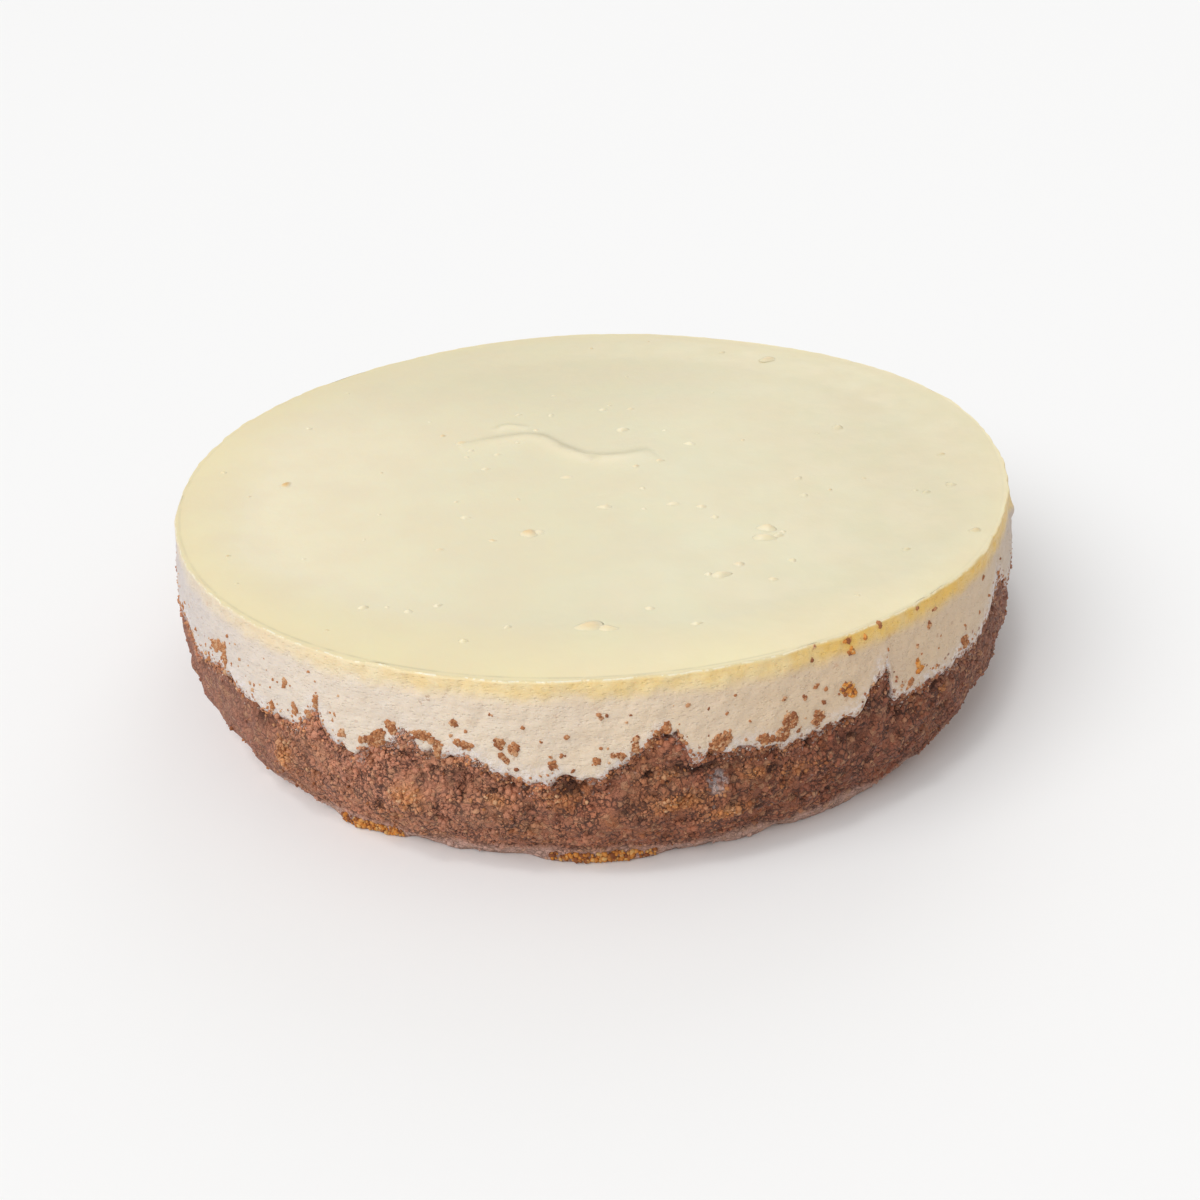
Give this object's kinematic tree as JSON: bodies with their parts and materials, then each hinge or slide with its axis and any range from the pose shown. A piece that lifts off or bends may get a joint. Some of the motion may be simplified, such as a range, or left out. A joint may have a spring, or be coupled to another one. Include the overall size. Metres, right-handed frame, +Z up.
{
  "type": "baked cheesecake",
  "caption": "Whole round baked cheesecake: a thick pressed crumb base with a ragged upper edge under a smooth, pale set cheese filling.",
  "frame": {"origin": "middle of the flat underside of the crumb base", "axes": "+Z up through the cake, -Y towards the side that shows in the picture, +X to that side's right"},
  "size_m": [0.1992, 0.2004, 0.0435],
  "materials": {
    "biscuit_crumb": "dry, grainy pressed biscuit crumb",
    "baked_cheese": "set cheese filling: smooth satin skin on top, airy matt side"
  },
  "bodies": {
    "root": {"crumb_base": "biscuit_crumb", "cheese_filling": "baked_cheese"}
  },
  "joints": []
}
